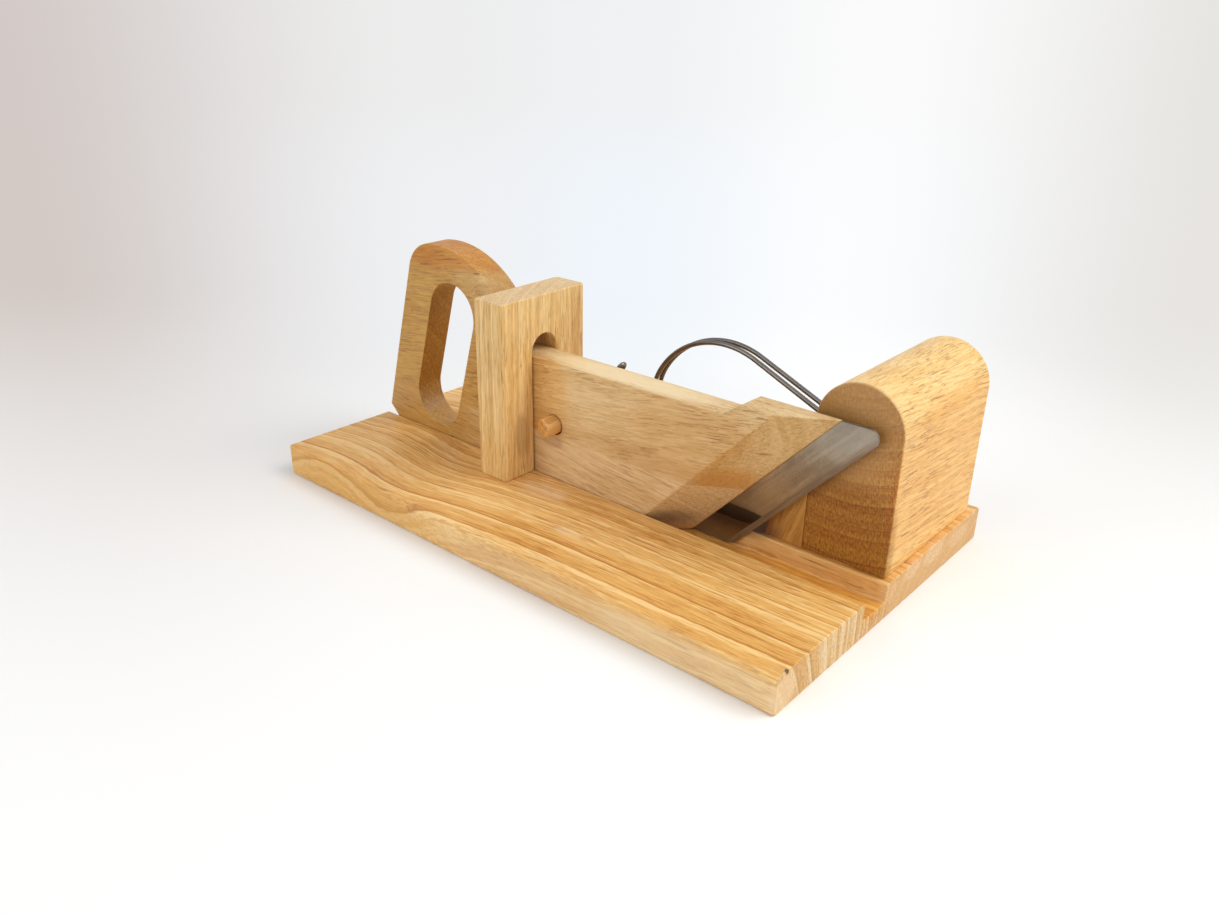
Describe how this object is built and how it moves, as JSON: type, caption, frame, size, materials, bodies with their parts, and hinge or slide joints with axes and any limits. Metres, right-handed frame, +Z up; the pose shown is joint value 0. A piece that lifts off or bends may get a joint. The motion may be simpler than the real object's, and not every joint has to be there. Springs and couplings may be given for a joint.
{
  "type": "sausage slicer",
  "caption": "Wooden push slicer for sausage: handled blade arm sliding in a groove through a guide post, past an end block with a hold-down wire.",
  "frame": {"origin": "middle of the base board's underside", "axes": "+X along the board from the handle end to the end block, +Y from the front edge to the back, +Z up"},
  "size_m": [0.29, 0.172, 0.1152],
  "materials": {
    "board_wood": "oiled, worn",
    "post_wood": "oiled, worn",
    "block_wood": "oiled, worn",
    "arm_wood": "oiled, worn",
    "peg_wood": "oiled, worn",
    "blade_steel": "dark patina",
    "wire_steel": "bright drawn wire, dulled",
    "screw_steel": "zinc plated"
  },
  "bodies": {
    "base": {"base_board": "board_wood", "guide_post": "post_wood", "end_block": "block_wood", "cradle_strip": "arm_wood", "post_screws": "screw_steel", "block_screws": "screw_steel", "wire_shanks": "wire_steel"},
    "arm": {"arm_upper_board": "arm_wood", "arm_lower_board": "arm_wood", "blade": "blade_steel", "blade_screws": "screw_steel"},
    "peg": {"lock_peg": "peg_wood"},
    "wire": {"hold_down_wire": "wire_steel"}
  },
  "joints": [
    {"name": "arm_slide", "type": "slide", "parent": "base", "child": "arm", "axis": [1, 0, 0], "range_m": [-0.008, 0.0018]},
    {"name": "lock_peg_pull", "type": "slide", "parent": "arm", "child": "peg", "axis": [0, -1, 0], "range_m": [0, 0.016]},
    {"name": "hold_down_lift", "type": "hinge", "parent": "base", "child": "wire", "pos_m": [0.102, 0.0385, 0.0565], "axis": [0, 1, 0], "range_deg": [-6, 20], "stiffness_Nm_per_rad": 3}
  ]
}
